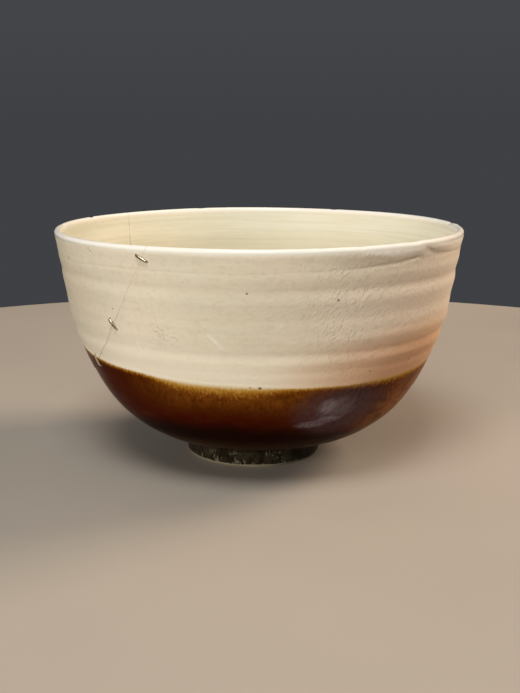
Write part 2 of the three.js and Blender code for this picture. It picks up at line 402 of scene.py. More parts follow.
def place(theta, along, proud=0.0):
    """Points of the finished surface, for broadcast arrays of angle and place on the section."""
    radius, height, normal_r, normal_z = outline.at(along)
    theta, radius, height = np.broadcast_arrays(theta, radius, height)
    outside = smooth((outline.wall_end - along) / (2 * LIP_BLEND) + 0.5)
    inside = smooth((along - outline.inner_start) / (2 * LIP_BLEND) + 0.5)
    relief = outside * outer_relief(theta, height) + inside * inner_relief(theta, height)
    relief = relief * smooth((radius - 4) / 12) * smooth((along - 2) / 6)
    push = relief + proud * np.where(along <= outline.along[outline.top], 1.0, -1.0)
    near_rim = smooth((height - (HEIGHT - 11)) / 11)
    oval = (0.13 + 0.08 * np.cos(2 * theta - 1.1)) * smooth(height / HEIGHT)
    r = radius + normal_r * push - oval
    z = height + normal_z * push - near_rim * rim_drop(theta)
    low = smooth((34 - radius) / 12) * (along < outline.wall_end)
    return np.stack([r * np.cos(theta) + FOOT_OFFSET * low, r * np.sin(theta), z], axis=-1)


# --- Mesh building ---

def used_only(points, faces):
    """The points that some face uses, and the faces numbered to match."""
    used = np.unique(np.concatenate([np.ravel(face) for face in faces]))
    renumber = np.zeros(len(points), int)
    renumber[used] = np.arange(len(used))
    return points[used], [[int(renumber[v]) for v in face] for face in faces]


def make_piece(name, points, faces, materials, face_slots=None, smooth_under=38):
    """A mesh object from millimetre points, shaded smooth across edges under so many degrees."""
    points, faces = used_only(points, faces)
    mesh = bpy.data.meshes.new(name)
    mesh.from_pydata((points * MM).tolist(), [], faces)
    mesh.validate()
    for material in materials:
        mesh.materials.append(material)
    if face_slots is not None:
        mesh.polygons.foreach_set("material_index", np.asarray(face_slots, np.int32))
    mesh.polygons.foreach_set("use_smooth", np.ones(len(mesh.polygons), bool))
    mesh.set_sharp_from_angle(angle=math.radians(smooth_under))
    piece = bpy.data.objects.new(name, mesh)
    bpy.context.scene.collection.objects.link(piece)
    return piece


def strips(lower, upper):
    """Quads between two rows of vertex numbers of the same length."""
    return np.stack([lower[:-1], lower[1:], upper[1:], upper[:-1]], axis=1).tolist()


def tube(rings):
    """Points and faces of a closed tube through rings of points."""
    count, sections, _ = rings.shape
    last = (count - 1) * sections
    faces = [list(range(sections))[::-1], list(range(last, last + sections))]
    for low in range(0, last, sections):
        for i in range(sections):
            a, b = low + i, low + (i + 1) % sections
            faces.append([a, b, b + sections, a + sections])
    return rings.reshape(-1, 3), faces


def without_repeats(ring):
    return [v for i, v in enumerate(ring) if v != ring[i - 1]]


class Cut:
    """One side of the break: the rows of the section that it crosses, and its angles on them.

    The outer rows rise from the tip of the break to the top of the lip. Those listed in twinned
    have an inner row opposite them, on the same line from the eye on the axis.
    """

    def __init__(self, sideways):
        azimuth, slope = break_path(sideways)
        tip = int(np.argmin(slope))
        self.tip = azimuth[tip]
        near_tip = outline.outer_at_slope(slope[tip]) + TIP_REACH * np.linspace(0, 1, TIP_ROWS) ** 2
        lip_start = outline.wall_end - LIP_BLEND / 2
        wall = np.linspace(near_tip[-1], lip_start, WALL_ROWS + 1)[1:]
        lip = np.linspace(lip_start, outline.along[outline.top], LIP_ROWS + 1)[1:]
        self.outer = np.concatenate([near_tip, wall, lip])
        self.slopes = outline.slope_at(self.outer)
        wall_end = TIP_ROWS + WALL_ROWS
        self.twinned = [
            *range(TIP_ROWS), *range(TIP_ROWS + 1, wall_end, 2), *range(wall_end, len(self.outer)),
        ]
        self.inner = outline.inner_at_slope(self.slopes[self.twinned])
        self.inner[-1] = self.outer[-1]
        self.front = np.interp(self.slopes, np.maximum.accumulate(slope[tip::-1]), azimuth[tip::-1])
        self.back = np.interp(self.slopes, np.maximum.accumulate(slope[tip:]), azimuth[tip:])
        self.front[0] = self.back[0] = self.tip

    def skins(self, theta, proud):
        """Points of the outer rows, upward from the tip, and of the inner rows, downward to it."""
        down = self.twinned[-2::-1]
        return [
            place(theta, self.outer[:, None], proud),
            place(theta[down], self.inner[-2::-1, None], proud[down]),
        ]

    def broken_edges(self, numbers):
        """Faces between the skins along both branches, from the vertex numbers of their rows."""
        outer_rows = numbers[:len(self.outer)]
        inner_rows = numbers[len(self.outer):][::-1]
        faces = []
        for column, flipped in ((0, False), (-1, True)):
            outer_column = outer_rows[:, column]
            inner_column = [*inner_rows[:, column], outer_column[-1]]
            steps = zip(self.twinned, self.twinned[1:], inner_column, inner_column[1:])
            for low, high, a, b in steps:
                ring = without_repeats([*outer_column[low:high + 1], b, a])
                if len(ring) > 2:
                    faces.append(ring[::-1] if flipped else ring)
        return faces


# Material slots of the bowl and the sherd. The cup glaze covers the inside and the lip.
WALL, CUP, FOOT, BROKEN = range(4)


def foot_section():
    """Rows of the foot from near the middle of its recess to the neck, as radius and height."""
    inner = FOOT_RADIUS - FOOT_RING_WIDTH
    corner = inner - RECESS_FILLET
    recess = [
        (r, RECESS_DEPTH - RECESS_CROWN * math.cos(r / 5)) for r in np.linspace(2, corner, 6)
    ]
    turn = np.linspace(math.pi / 2, 0, 5)[1:]
    fillet = [(corner + RECESS_FILLET * math.cos(a),
               RECESS_DEPTH - RECESS_FILLET * (1 - math.sin(a))) for a in turn]
    ring = [(inner + 0.1, 2.0), (inner + 0.25, 0.5), (inner + 0.6, 0.05)]
    rest = [(r, 0.0) for r in np.linspace(inner + 1.0, FOOT_RADIUS - 1.1, 3)]
    chamfer = [(FOOT_RADIUS - 0.8, 0.15), (FOOT_RADIUS - 0.45, 0.5), (FOOT_RADIUS - 0.25, 0.95)]
    wall = [(FOOT_RADIUS - 0.2 + 0.05 * z, z) for z in np.linspace(1.45, 4.9, 8)]
    groove = [(FOOT_RADIUS - 0.1, 5.1), (FOOT_RADIUS - 0.5, 5.3), (FOOT_RADIUS - 0.1, 5.6),
              (FOOT_RADIUS, 6.1), (FOOT_RADIUS + 0.05, 6.7)]
    return np.array(recess + fillet + ring + rest + chamfer + wall + groove)


def foot_points(theta):
    """The foot's surface, lumpy from trimming and worn along its resting edge."""
    section = foot_section()
    radius, height = section[:, :1], section[:, 1:]
    on_wall = smooth((radius - FOOT_RADIUS + 1.2) / 0.8)
    low = bell(height, 1.3)
    nick = 0.45 * bell(angle_from(theta, 268) * FOOT_RADIUS, 1.2) * low
    wear = 0.30 * np.abs(lumps(theta, height, size=2.2, seed=22, stretch=3)) * low
    trimming = 0.22 * lumps(theta, height, size=2.6, seed=21, stretch=5)
    r = radius - on_wall * (0.06 + nick + wear + trimming)
    z = height + np.zeros_like(theta)
    return np.stack([r * np.cos(theta) + FOOT_OFFSET, r * np.sin(theta), z], axis=-1)


def body_angles(cut):
    """Angles of each row's vertices, from the front break round to the back break."""
    share = np.linspace(0, 1, COLUMNS + 1)
    reach = 0.45
    start = np.clip(1 - share / reach, 0, 1) ** 2
    end = np.clip(1 - (1 - share) / reach, 0, 1) ** 2
    return (cut.tip + 2 * math.pi * share
            + np.outer(cut.front - cut.tip, start) + np.outer(cut.back - cut.tip, end))


def build_body(materials):
    """The bowl without its sherd: foot, outside, lip and inside, open along the break."""
    cut = Cut(SEAM_WIDTH / 2)
    closed_theta = cut.tip + 2 * math.pi * np.linspace(0, 1, COLUMNS + 1)
    below = np.linspace(0, cut.outer[0], BELOW_ROWS + 1)[:-1]
    floor = np.linspace(cut.inner[0], outline.length, FLOOR_ROWS + 2)[1:-1]
    rows = [
        foot_points(closed_theta),
        place(closed_theta[None, :], below[:, None]),
        *cut.skins(body_angles(cut), np.zeros((len(cut.outer), 1))),
        place(closed_theta[None, :], floor[:, None]),
    ]
    points = np.vstack([block.reshape(-1, 3) for block in rows])
    numbers = np.arange(len(points)).reshape(-1, COLUMNS + 1)

    foot_rows = len(rows[0])
    first_cut = foot_rows + len(rows[1])
    after_cut = first_cut + len(rows[2]) + len(rows[3])
    closed = np.ones(len(numbers), bool)
    closed[first_cut + 1:after_cut - 1] = False
    numbers[closed, -1] = numbers[closed, 0]

    faces, slots = [], []
    for row in range(len(numbers) - 1):
        if row < foot_rows:
            slot = FOOT
        elif row < first_cut + TIP_ROWS + WALL_ROWS - 1:
            slot = WALL
        else:
            slot = CUP
        made = strips(numbers[row], numbers[row + 1])
        faces += made
        slots += [slot] * len(made)
    made = cut.broken_edges(numbers[first_cut:after_cut])
    faces += made
    slots += [BROKEN] * len(made)

    recess_middle = [FOOT_OFFSET, 0, RECESS_DEPTH - RECESS_CROWN]
    floor_middle = [0, 0, FLOOR_HEIGHT]
    low, high = len(points), len(points) + 1
    points = np.vstack([points, [recess_middle, floor_middle]])
    for a, b in zip(numbers[0], numbers[0, 1:]):
        faces.append([b, a, low])
        slots.append(FOOT)
    for a, b in zip(numbers[-1], numbers[-1, 1:]):
        faces.append([a, b, high])
        slots.append(CUP)
    return make_piece("bowl_body_fine", points, faces, materials, slots)


def build_sherd(materials):
    """The piece that broke out, standing a hair proud at its lower tip."""
    cut = Cut(-SEAM_WIDTH / 2)
    share = np.linspace(0, 1, SHERD_COLUMNS + 1)
    theta = cut.back[:, None] + np.outer(cut.front - cut.back, share)
    rise = (cut.slopes - cut.slopes[0]) / (cut.slopes[-1] - cut.slopes[0])
    rows = cut.skins(theta, SHERD_PROUD * (1 - rise)[:, None])
    points = np.vstack([block.reshape(-1, 3) for block in rows])
    numbers = np.arange(len(points)).reshape(-1, SHERD_COLUMNS + 1)
    numbers[0, :] = numbers[0, 0]
    numbers[-1, :] = numbers[-1, 0]
    faces, slots = [], []
    for row in range(len(numbers) - 1):
        for quad in strips(numbers[row], numbers[row + 1]):
            ring = without_repeats(quad)
            if len(ring) > 2:
                faces.append(ring)
                slots.append(WALL if row < TIP_ROWS + WALL_ROWS - 1 else CUP)
    made = cut.broken_edges(numbers)
    faces += made
    slots += [BROKEN] * len(made)
    return make_piece("stapled_sherd_fine", points, faces, materials, slots)


def build_seam(material):
    """The line of lacquer in the break, flush with the glaze on both sides."""
    half = SEAM_WIDTH / 2 - LACQUER_CLEARANCE
    corners = []
    for sideways in (half, -half):
        azimuth, slope = break_path(sideways)
        slope = np.minimum(slope, outline.slope[outline.top] - 1e-4)
        corners.append(place(azimuth, outline.outer_at_slope(slope)))
        corners.append(place(azimuth, outline.inner_at_slope(slope)))
    outer_body, inner_body, outer_sherd, inner_sherd = corners
    rings = np.stack([outer_body, outer_sherd, inner_sherd, inner_body], axis=1)
    return make_piece("seam_lacquer_fine", *tube(rings), [material])


# --- Staples ---

def staple_seat(azimuth, height, tilt):
    """Where a staple sits: columns are along the bar, across it and out of the wall."""
    theta = math.radians(azimuth)
    along = outline.outer_at_height(height)
    _, _, normal_r, normal_z = outline.at(along)
    outward = np.array([math.cos(theta), math.sin(theta), 0])
    around = np.array([-math.sin(theta), math.cos(theta), 0])
    normal = outward * normal_r + np.array([0, 0, normal_z])
    up = np.cross(normal, around)
    lean = math.radians(tilt)
    bar = around * math.cos(lean) - up * math.sin(lean)
    side = np.cross(normal, bar)
    point = place(np.array([theta]), np.array([along]))[0]
    return point, bar, side, normal


def sweep(path, half_widths, half_heights, side, sections=14):
    """Rings of an oval tube along path, with side as the direction of its width."""
    tangent = np.gradient(path, axis=0)
    tangent /= np.linalg.norm(tangent, axis=1)[:, None]
    lift = np.cross(side, tangent)
    turn = np.linspace(2 * math.pi, 0, sections, endpoint=False)
    return (path[:, None, :]
            + (half_widths[:, None] * np.cos(turn))[..., None] * side
            + (half_heights[:, None] * np.sin(turn))[..., None] * lift[:, None, :])


def build_staple(name, seat, material, seed):
    """A hammered wire staple: its bar bows over the break and its ends turn into the wall."""
    point, bar, side, normal = seat
    end = STAPLE_REACH - STAPLE_BEND
    foot = np.array([-STAPLE_REACH, -LEG_DEPTH])
    knee = np.array([-STAPLE_REACH, BAR_HEIGHT - STAPLE_BEND])
    t = np.linspace(0, 1, 9)[:, None]
    corner = ((1 - t) ** 2 * knee + 2 * (1 - t) * t * np.array([-STAPLE_REACH, BAR_HEIGHT])
              + t ** 2 * np.array([-end, BAR_HEIGHT]))
    left = np.vstack([foot, (foot + knee) / 2, corner])
    across = np.linspace(-end, end, 16)[1:-1]
    middle = np.stack([across, BAR_HEIGHT + STAPLE_BOW * (1 - (across / end) ** 2)], axis=1)
    flat = np.vstack([left, middle, left[::-1] * np.array([-1, 1])])
    lean = 0.06 * np.sin(seed * 1.7) * flat[:, :1] * side
    path = point + flat[:, :1] * bar + flat[:, 1:] * normal + lean
    # The bar was hammered flat, most of all over the break.
    flattened = 1 - np.clip(np.abs(flat[:, 0]) / STAPLE_REACH, 0, 1) ** 2
    rings = sweep(path, 0.33 + 0.10 * flattened, 0.31 - 0.03 * flattened, side)
    return make_piece(name + "_fine", *tube(rings), [material], smooth_under=60)


# --- Materials ---

class Shading:
    """One material's node tree, built by calls that take and return sockets."""

    def __init__(self, name):
        self.material = bpy.data.materials.new(name)
        self.material.use_nodes = True
        self.tree = self.material.node_tree
        self.shader = self.tree.nodes["Principled BSDF"]
        coordinates = self.tree.nodes.new("ShaderNodeTexCoord").outputs["Object"]
        self.place = self.vector("SCALE", coordinates, scale=1 / MM)
        split = self.tree.nodes.new("ShaderNodeSeparateXYZ")
        self.link(self.place, split.inputs[0])
        self.x, self.y, self.z = split.outputs
        flat = self.vector("MULTIPLY", self.place, (1.0, 1.0, 0.0))
        self.outward = self.vector("NORMALIZE", flat)

    def link(self, source, socket):
        if isinstance(source, bpy.types.NodeSocket):
            self.tree.links.new(source, socket)
        else:
            socket.default_value = source

    def vector(self, operation, a, b=None, scale=None):
        node = self.tree.nodes.new("ShaderNodeVectorMath")
        node.operation = operation
        self.link(a, node.inputs[0])
        if b is not None:
            self.link(b, node.inputs[1])
        if scale is not None:
            self.link(scale, node.inputs["Scale"])
        single = operation in ("LENGTH", "DISTANCE", "DOT_PRODUCT")
        return node.outputs["Value" if single else "Vector"]

    def math(self, operation, a, b=0.0, c=0.0):
        node = self.tree.nodes.new("ShaderNodeMath")
        node.operation = operation
        for value, socket in zip((a, b, c), node.inputs):
            self.link(value, socket)
        return node.outputs[0]

    def times(self, a, b):
        return self.math("MULTIPLY", a, b)

    def scaled(self, value, by, plus):
        return self.math("MULTIPLY_ADD", value, by, plus)

    def towards(self, azimuth):
        """1 where the wall faces an azimuth in degrees, falling to -1 on the far side."""
        direction = (math.cos(math.radians(azimuth)), math.sin(math.radians(azimuth)), 0.0)
        return self.vector("DOT_PRODUCT", self.outward, direction)

    def turned(self, start):
        """How far round the bowl from an azimuth in degrees, as a share of a full turn."""
        angle = self.math("ARCTAN2", self.y, self.x)
        return self.math("FRACT", self.scaled(angle, 0.5 / math.pi, 1 - start / 360))

    def patch(self, azimuth, height, wide, tall, strength=1.0):
        """strength at a place on the wall, and 0 wide degrees to its sides and tall mm above."""
        around = self.math("SUBTRACT", 1.0, self.towards(azimuth))
        around = self.math("DIVIDE", around, 1 - math.cos(math.radians(wide)))
        up = self.math("DIVIDE", self.math("SUBTRACT", self.z, height), tall)
        return self.fade(self.scaled(up, up, around), 0.0, 1.0, strength, 0.0)

    def from_line(self, start, end):
        """Distance in millimetres from the straight line between two points."""
        offset = self.vector("SUBTRACT", self.place, start)
        line = Vector(end) - Vector(start)
        share = self.vector("DOT_PRODUCT", offset, tuple(line / line.length_squared))
        share = self.math("MINIMUM", self.math("MAXIMUM", share, 0.0), 1.0)
        nearest = self.vector("SCALE", tuple(line), scale=share)
        return self.vector("DISTANCE", offset, nearest)

    def fade(self, value, low, high, out_low=0.0, out_high=1.0):
        """A smooth step from out_low at low to out_high at high."""
        node = self.tree.nodes.new("ShaderNodeMapRange")
        node.interpolation_type = "SMOOTHSTEP"
        for item, socket in zip((value, low, high, out_low, out_high), node.inputs):
            self.link(item, socket)
        return node.outputs[0]

    def noise(self, size, detail=3.0, stretch=(1, 1, 1), roughness=0.5, shift=0.0, place=None):
        """Noise between 0 and 1 with features of about size millimetres."""
        node = self.tree.nodes.new("ShaderNodeTexNoise")
        place = self.place if place is None else place
        scaled = self.vector("MULTIPLY", place, tuple(1 / (size * s) for s in stretch))
        moved = self.vector("ADD", scaled, (shift, shift * 0.7, shift * 1.3))
        self.link(moved, node.inputs["Vector"])
        node.inputs["Scale"].default_value = 1.0
        node.inputs["Detail"].default_value = detail
        node.inputs["Roughness"].default_value = roughness
        return node.outputs["Fac"]

    def dashes(self, direction, size, length, shift=0.0):
        """Noise of size millimetres, drawn out to length along one direction."""
        direction = Vector(direction).normalized()
        along = self.vector("DOT_PRODUCT", self.place, tuple(direction))
        squeeze = self.vector("SCALE", tuple(direction * (size / length - 1)), scale=along)
        return self.noise(size, shift=shift, place=self.vector("ADD", self.place, squeeze))

    def mix(self, factor, a, b, blend="MIX"):
        node = self.tree.nodes.new("ShaderNodeMix")
        node.data_type = "RGBA"
        node.blend_type = blend
        self.link(factor, node.inputs[0])
        for value, socket in ((a, node.inputs[6]), (b, node.inputs[7])):
            if isinstance(value, tuple):
                value = (*value, 1.0)
            self.link(value, socket)
        return node.outputs[2]

    def ramp(self, factor, stops):
        node = self.tree.nodes.new("ShaderNodeValToRGB")
        elements = node.color_ramp.elements
        while len(elements) < len(stops):
            elements.new(0.5)
        for element, (position, colour) in zip(elements, stops):
            element.position = position
            element.color = (*colour, 1.0)
        self.link(factor, node.inputs[0])
        return node.outputs[0]

    def bump(self, height, strength, distance, below=None):
        node = self.tree.nodes.new("ShaderNodeBump")
        node.inputs["Strength"].default_value = strength
        node.inputs["Distance"].default_value = distance * MM
        self.link(height, node.inputs["Height"])
        if below is not None:
            self.link(below, node.inputs["Normal"])
        return node.outputs["Normal"]

    def finish(self, colour, roughness, normal=None, **constants):
        self.link(colour, self.shader.inputs["Base Color"])
        self.link(roughness, self.shader.inputs["Roughness"])
        if normal is not None:
            self.link(normal, self.shader.inputs["Normal"])
        for key, value in constants.items():
            self.shader.inputs[key.replace("_", " ")].default_value = value
        return self.material


# Colours of the cream glaze, then of what stained or marked it, and of the painted light and shade
# laid over it.
CREAM = (0.745, 0.655, 0.490)
CREAM_GREY = (0.690, 0.625, 0.465)
CREAM_PINK = (0.775, 0.640, 0.480)
CREAM_LINED = (0.60, 0.52, 0.38)
CREAM_MOTTLED = (0.80, 0.73, 0.585)
CREAM_PITTED = (0.58, 0.475, 0.345)
CREAM_PALE_AND_HIGHLIGHT = (0.95, 0.89, 0.79)
CREAM_PAINTED_LIGHT = (0.96, 0.84, 0.74)
CREAM_THICK_AND_LIT = (0.95, 0.86, 0.68)
CREAM_PAINTED_GLOW = (0.86, 0.70, 0.565)
CREAM_PAINTED_BOUNCE = (0.76, 0.46, 0.28)
CREAM_PAINTED_WARM_SHADE = (0.50, 0.28, 0.17)
CREAM_PAINTED_SHADE = (0.42, 0.34, 0.23)
RING_HOLLOW_SHADE = (0.60, 0.46, 0.34)
LIP_HOLLOW_SHADE = (0.48, 0.36, 0.26)
LIP_LINE_SHADE = (0.42, 0.34, 0.24)
SCUFF_STAIN = (0.50, 0.40, 0.28)
RUBBED_PALE = (0.90, 0.85, 0.75)
SPECK_BROWN = (0.07, 0.040, 0.020)
HOLE_SHADE = (0.14, 0.11, 0.07)
CUP_LOW = (0.73, 0.665, 0.48)
CUP_HIGH = (0.84, 0.80, 0.64)
CUP_LINED = (0.66, 0.60, 0.41)
CUP_SHADED = (0.56, 0.54, 0.41)
CUP_POOL = (0.66, 0.60, 0.42)
IRON_SPOT = (0.38, 0.22, 0.12)
GLAZE_IOR = 1.5

# Colours of the brown glaze, with its painted shade and painted reflections. Its edge turns from
# gold to brown as it deepens, from 0 to 1.
GOLDEN_EDGE = [
    (0.00, (0.66, 0.46, 0.18)),
    (0.12, (0.54, 0.31, 0.07)),
    (0.26, (0.38, 0.18, 0.024)),
    (0.45, (0.26, 0.088, 0.008)),
    (0.70, (0.19, 0.050, 0.004)),
]
AMBER = (0.230, 0.076, 0.009)
AMBER_THICK = (0.046, 0.0034, 0.0003)
AMBER_WARM = (0.34, 0.128, 0.034)
AMBER_STREAKED = (0.048, 0.008, 0.001)
AMBER_MOTTLED = (0.060, 0.012, 0.001)
BROWN_PAINTED_SHADE = (0.008, 0.002, 0.0005)
BROWN_PAINTED_REFLECTION = (0.07, 0.035, 0.011)
BROWN_STAIN = (0.065, 0.018, 0.005)
REFLECTION_BLUE = (0.085, 0.056, 0.062)
REFLECTION_GLINT = (0.24, 0.20, 0.215)

# Pinholes and specks in the wall's glaze: azimuth, height and radius.
SPECKS = [
    (267.1, 60.5, 0.30), (290.0, 58.2, 0.36), (320.2, 37.5, 0.34), (208.6, 65.8, 0.34),
    (221.8, 70.2, 0.26), (222.4, 69.5, 0.24), (303.7, 36.4, 0.26), (270.3, 33.7, 0.50),
    (267.5, 33.9, 0.28), (257.6, 30.9, 0.42), (228.0, 53.6, 0.24), (95.0, 52.0, 0.35),
    (48.0, 61.0, 0.30), (20.0, 44.0, 0.36), (120.0, 58.5, 0.30), (75.0, 43.0, 0.30),
]
INNER_SPECK = (47.0, 36.7, 62.0)

# Pale rubs, as two ends (azimuth, height) and half width.
RUBS = [
    ((256.9, 48.9), (258.6, 47.3), 0.32), ((258.9, 47.2), (260.4, 45.2), 0.42),
    ((235.2, 44.9), (235.6, 43.3), 0.45), ((237.3, 43.8), (238.0, 43.2), 0.35),
]

# Patches of the surface, each as azimuth, height, degrees wide, mm tall and any strength under 1.
# Painted light: a paler patch on the upper right of the wall.
PAINTED_LIGHT_RIGHT = (338, 58, 34, 20, 0.45)
# Painted shade in the hollows under the rolled lip, beside the pinch.
LIP_SHADED_HOLLOWS = [(301, 67.9, 15, 1.8, 0.34), (320, 68.7, 15, 1.8, 0.34)]
SCUFFED = [(308, 52, 34, 32), (244.4, 48.0, 6.0, 4.8)]
# Painted warm bounce light and warm shade at the right, painted grey shade at the left and at the
# front.
PAINTED_LIGHT_TINTS = [
    ((315, 54, 38, 20, 0.45), CREAM_PAINTED_GLOW), ((328, 34, 60, 19), CREAM_PAINTED_BOUNCE),
    ((324, 34, 26, 11, 0.5), CREAM_PAINTED_WARM_SHADE), ((190, 50, 45, 30, 0.30), CREAM_PAINTED_SHADE),
    ((268, 55, 26, 15, 0.15), CREAM_PAINTED_SHADE),
]
BROAD_EDGE = (258, DIP_HEIGHT, 24, 20)
BROAD_EDGE_RIGHT = (325, DIP_HEIGHT, 34, 20, 0.5)
THIN_FRONT = (264, 30, 42, 30)
THIN_BACK = (95, 34, 75, 16, 0.6)
WARM_RIGHT = (348, 22, 53, 18, 0.9)
# A painted reflection: a bluish sheen with brighter painted glints.
REFLECTION_PATCHES = [
    ((299, 24.8, 22, 10.5, 0.90), REFLECTION_BLUE), ((296.0, 25.8, 9.0, 4.5, 0.40), REFLECTION_GLINT),
    ((292.3, 26.6, 3.8, 3.0, 0.65), REFLECTION_GLINT), ((288.0, 20.8, 7.0, 1.5, 0.55), REFLECTION_GLINT),
    ((294.0, 22.1, 6.0, 1.3, 0.60), REFLECTION_GLINT),
]
FOOT_WEAR = [
    (231, 3.6, 8, 2.0), (236, 2.0, 10, 1.8), (250, 4.0, 7, 2.8), (253, 1.8, 9, 2.0),
    (281, 4.0, 11, 1.9), (291, 2.2, 12, 1.6), (215, 1.4, 12, 1.6), (268, 1.2, 10, 1.4),
]
FOOT_WEAR_STRENGTH = 0.175


def on_wall(azimuth, height):
    """A point of the finished outer surface as a plain tuple."""
    along = outline.outer_at_height(height)
    point = place(np.array([math.radians(azimuth)]), np.array([along]))[0]
    return tuple(float(value) for value in point)


def cream_colour(s):
    """Cream glaze: faintly clouded grey to pink, with fine turning lines, painted light at the
    right, and a paler lip with a painted highlight.
    """
    clouds = s.noise(24, detail=2)
    colour = s.mix(s.fade(clouds, 0.30, 0.70), CREAM_GREY, CREAM_PINK)
    colour = s.mix(0.45, colour, CREAM)
    lines = s.noise(1.6, detail=3, stretch=(26, 26, 1))
    colour = s.mix(s.fade(lines, 0.40, 0.75, 0.0, 0.20), colour, CREAM_LINED)
    mottle = s.noise(4.5, detail=4, roughness=0.6, shift=3.1)
    colour = s.mix(s.fade(mottle, 0.30, 0.80, 0.0, 0.18), colour, CREAM_MOTTLED)
    pitted = s.noise(1.3, detail=3, roughness=0.6, stretch=(1.6, 1.6, 1), shift=5.3)
    colour = s.mix(s.fade(pitted, 0.46, 0.72, 0.0, 0.30), colour, CREAM_PITTED)
    # Painted light: the upper right of the wall is painted paler, as if lit more strongly.
    colour = s.mix(s.patch(*PAINTED_LIGHT_RIGHT), colour, CREAM_PAINTED_LIGHT)
    # The lip is paler glaze with a painted highlight on it. The highlight is broadest at the right
    # of the front, where the rolled lip is painted as catching more light.
    right = s.fade(s.towards(325), math.cos(math.radians(32)), 0.97)
    lip_start = s.scaled(right, -2.4, HEIGHT - 2.4)
    lip = s.fade(s.z, lip_start, s.math("ADD", lip_start, 1.7), 0.0, 0.9)
    return s.mix(lip, colour, CREAM_PALE_AND_HIGHLIGHT)


def ring_hollow_shade(s, colour):
    """Painted shade in the hollows between the throwing rings, darker and pinker in the deeper
    hollows.
    """
    level = s.scaled(s.towards(40), RING_DRIFT, s.z)
    # Painted shade in each hollow, darker the deeper the hollow.
    for at, width, out in RINGS:
        if out < 0:
            away = s.math("ABSOLUTE", s.math("SUBTRACT", level, at))
            colour = s.mix(s.fade(away, 0.2, width * 1.3, -out * 0.45, 0.0), colour, RING_HOLLOW_SHADE)
    return colour


def lip_groove(s, colour):
    """Painted shade in the line under the lip, deepest by its pinched end, and in the hollows
    beside the pinch.
    """
    start = LIP_LINE[0][0]
    turned = s.turned(start)
    # The ramp gives the line's height, as grey tones that stand for 60 to 75 mm.
    low, reach = 60.0, 15.0
    stops = [
        ((azimuth - start) / 360, ((height - low) / reach,) * 3) for azimuth, height in LIP_LINE
    ]
    level = s.scaled(s.ramp(turned, stops), reach, low)
    away = s.math("ABSOLUTE", s.math("SUBTRACT", s.z, level))
    # Painted shade in the hollows under the rolled lip.
    for hollow in LIP_SHADED_HOLLOWS:
        colour = s.mix(s.patch(*hollow), colour, LIP_HOLLOW_SHADE)
    # The line under the lip is painted darker, most of all near the pinch.
    depth = s.fade(s.towards(start), math.cos(0.5), math.cos(0.15), 0.12, 0.58)
    width = s.fade(turned, 0.010, 0.045, LIP_HOLLOW_WIDTH, LIP_LINE_WIDTH)
    return s.mix(s.fade(away, 0.1, width, depth, 0.0), colour, LIP_LINE_SHADE)


def staple_legs(s):
    """Distances from each place where a staple enters the wall."""
    for seat in STAPLES.values():
        point, bar, _, _ = staple_seat(*seat)
        for reach in (-STAPLE_REACH, STAPLE_REACH):
            leg = tuple(float(value) for value in point + reach * bar)
            yield s.vector("DISTANCE", s.place, leg)


def staple_rims(s, colour):
    """Pale rubbed glaze round the staples' holes."""
    for away in staple_legs(s):
        colour = s.mix(s.fade(away, 0.60, 1.10, 0.35, 0.0), colour, RUBBED_PALE)
    return colour


def wall_marks(s, colour):
    """Specks, rubs, and painted shade in the holes where the staples enter the wall."""
    for azimuth, height, size in SPECKS:
        away = s.vector("DISTANCE", s.place, on_wall(azimuth, height))
        colour = s.mix(s.fade(away, size * 0.5, size * 1.2, 0.85, 0.0), colour, SPECK_BROWN)
    ragged = s.scaled(s.noise(0.7, detail=2, shift=1.4), 0.9, -0.45)
    for start, end, half_width in RUBS:
        away = s.math("ADD", s.from_line(on_wall(*start), on_wall(*end)), ragged)
        colour = s.mix(s.fade(away, 0.0, half_width * 2.2, 0.30, 0.0), colour, RUBBED_PALE)
    # Painted shade in the holes, under the ends of the wire.
    for away in staple_legs(s):
        colour = s.mix(s.fade(away, 0.34, 0.50, 0.7, 0.0), colour, HOLE_SHADE)
    return colour


def cream_wall(s, depth, scuffs):
    """The cream glaze outside, thick and pale towards its edge, with painted light on the lower
    front, painted warm bounce light and warm shade at the right, and painted shade at the left and
    the front.
    """
    cream = staple_rims(s, lip_groove(s, ring_hollow_shade(s, cream_colour(s))))
    # Painted light on the lower wall facing the front, and a band of thicker, paler glaze just
    # above the brown.
    thick = s.times(s.fade(depth, -15, -4, 0.0, 0.55), s.fade(s.towards(245), -0.3, 0.8))
    thick = s.math("MAXIMUM", thick, s.fade(depth, -2.5, -0.8, 0.0, 0.8))
    cream = s.mix(thick, cream, CREAM_THICK_AND_LIT)
    # Painted light and shade: warm bounce light and warm shade low at the right, grey shade at the
    # left and at the front.
    for where, tint in PAINTED_LIGHT_TINTS:
        cream = s.mix(s.patch(*where), cream, tint)
    return s.mix(s.times(scuffs, 0.15), cream, SCUFF_STAIN)


def amber_body(s, level):
    """The brown glaze away from its edge: amber where it is thin and red-brown where thick."""
    clouds = s.noise(8, detail=4, stretch=(1.5, 1.5, 1), shift=9.0)
    amber = s.times(s.fade(clouds, 0.28, 0.68, 0.55, 1.0), s.fade(level, 22, 34))
    thin = s.math("MAXIMUM", s.patch(*THIN_FRONT), s.patch(*THIN_BACK))
    body = s.mix(s.times(amber, s.scaled(thin, 0.94, 0.06)), AMBER_THICK, AMBER)
    body = s.mix(s.patch(*WARM_RIGHT), body, AMBER_WARM)
    streaks = s.noise(0.9, detail=5, stretch=(1, 1, 8), roughness=0.6, shift=2.0)
    body = s.mix(s.fade(streaks, 0.40, 0.70, 0.0, 0.55), body, AMBER_STREAKED)
    mottle = s.noise(3.6, detail=5, stretch=(1.5, 1.5, 1), roughness=0.65, shift=12.0)
    return s.mix(s.fade(mottle, 0.42, 0.66, 0.0, 0.60), body, AMBER_MOTTLED)


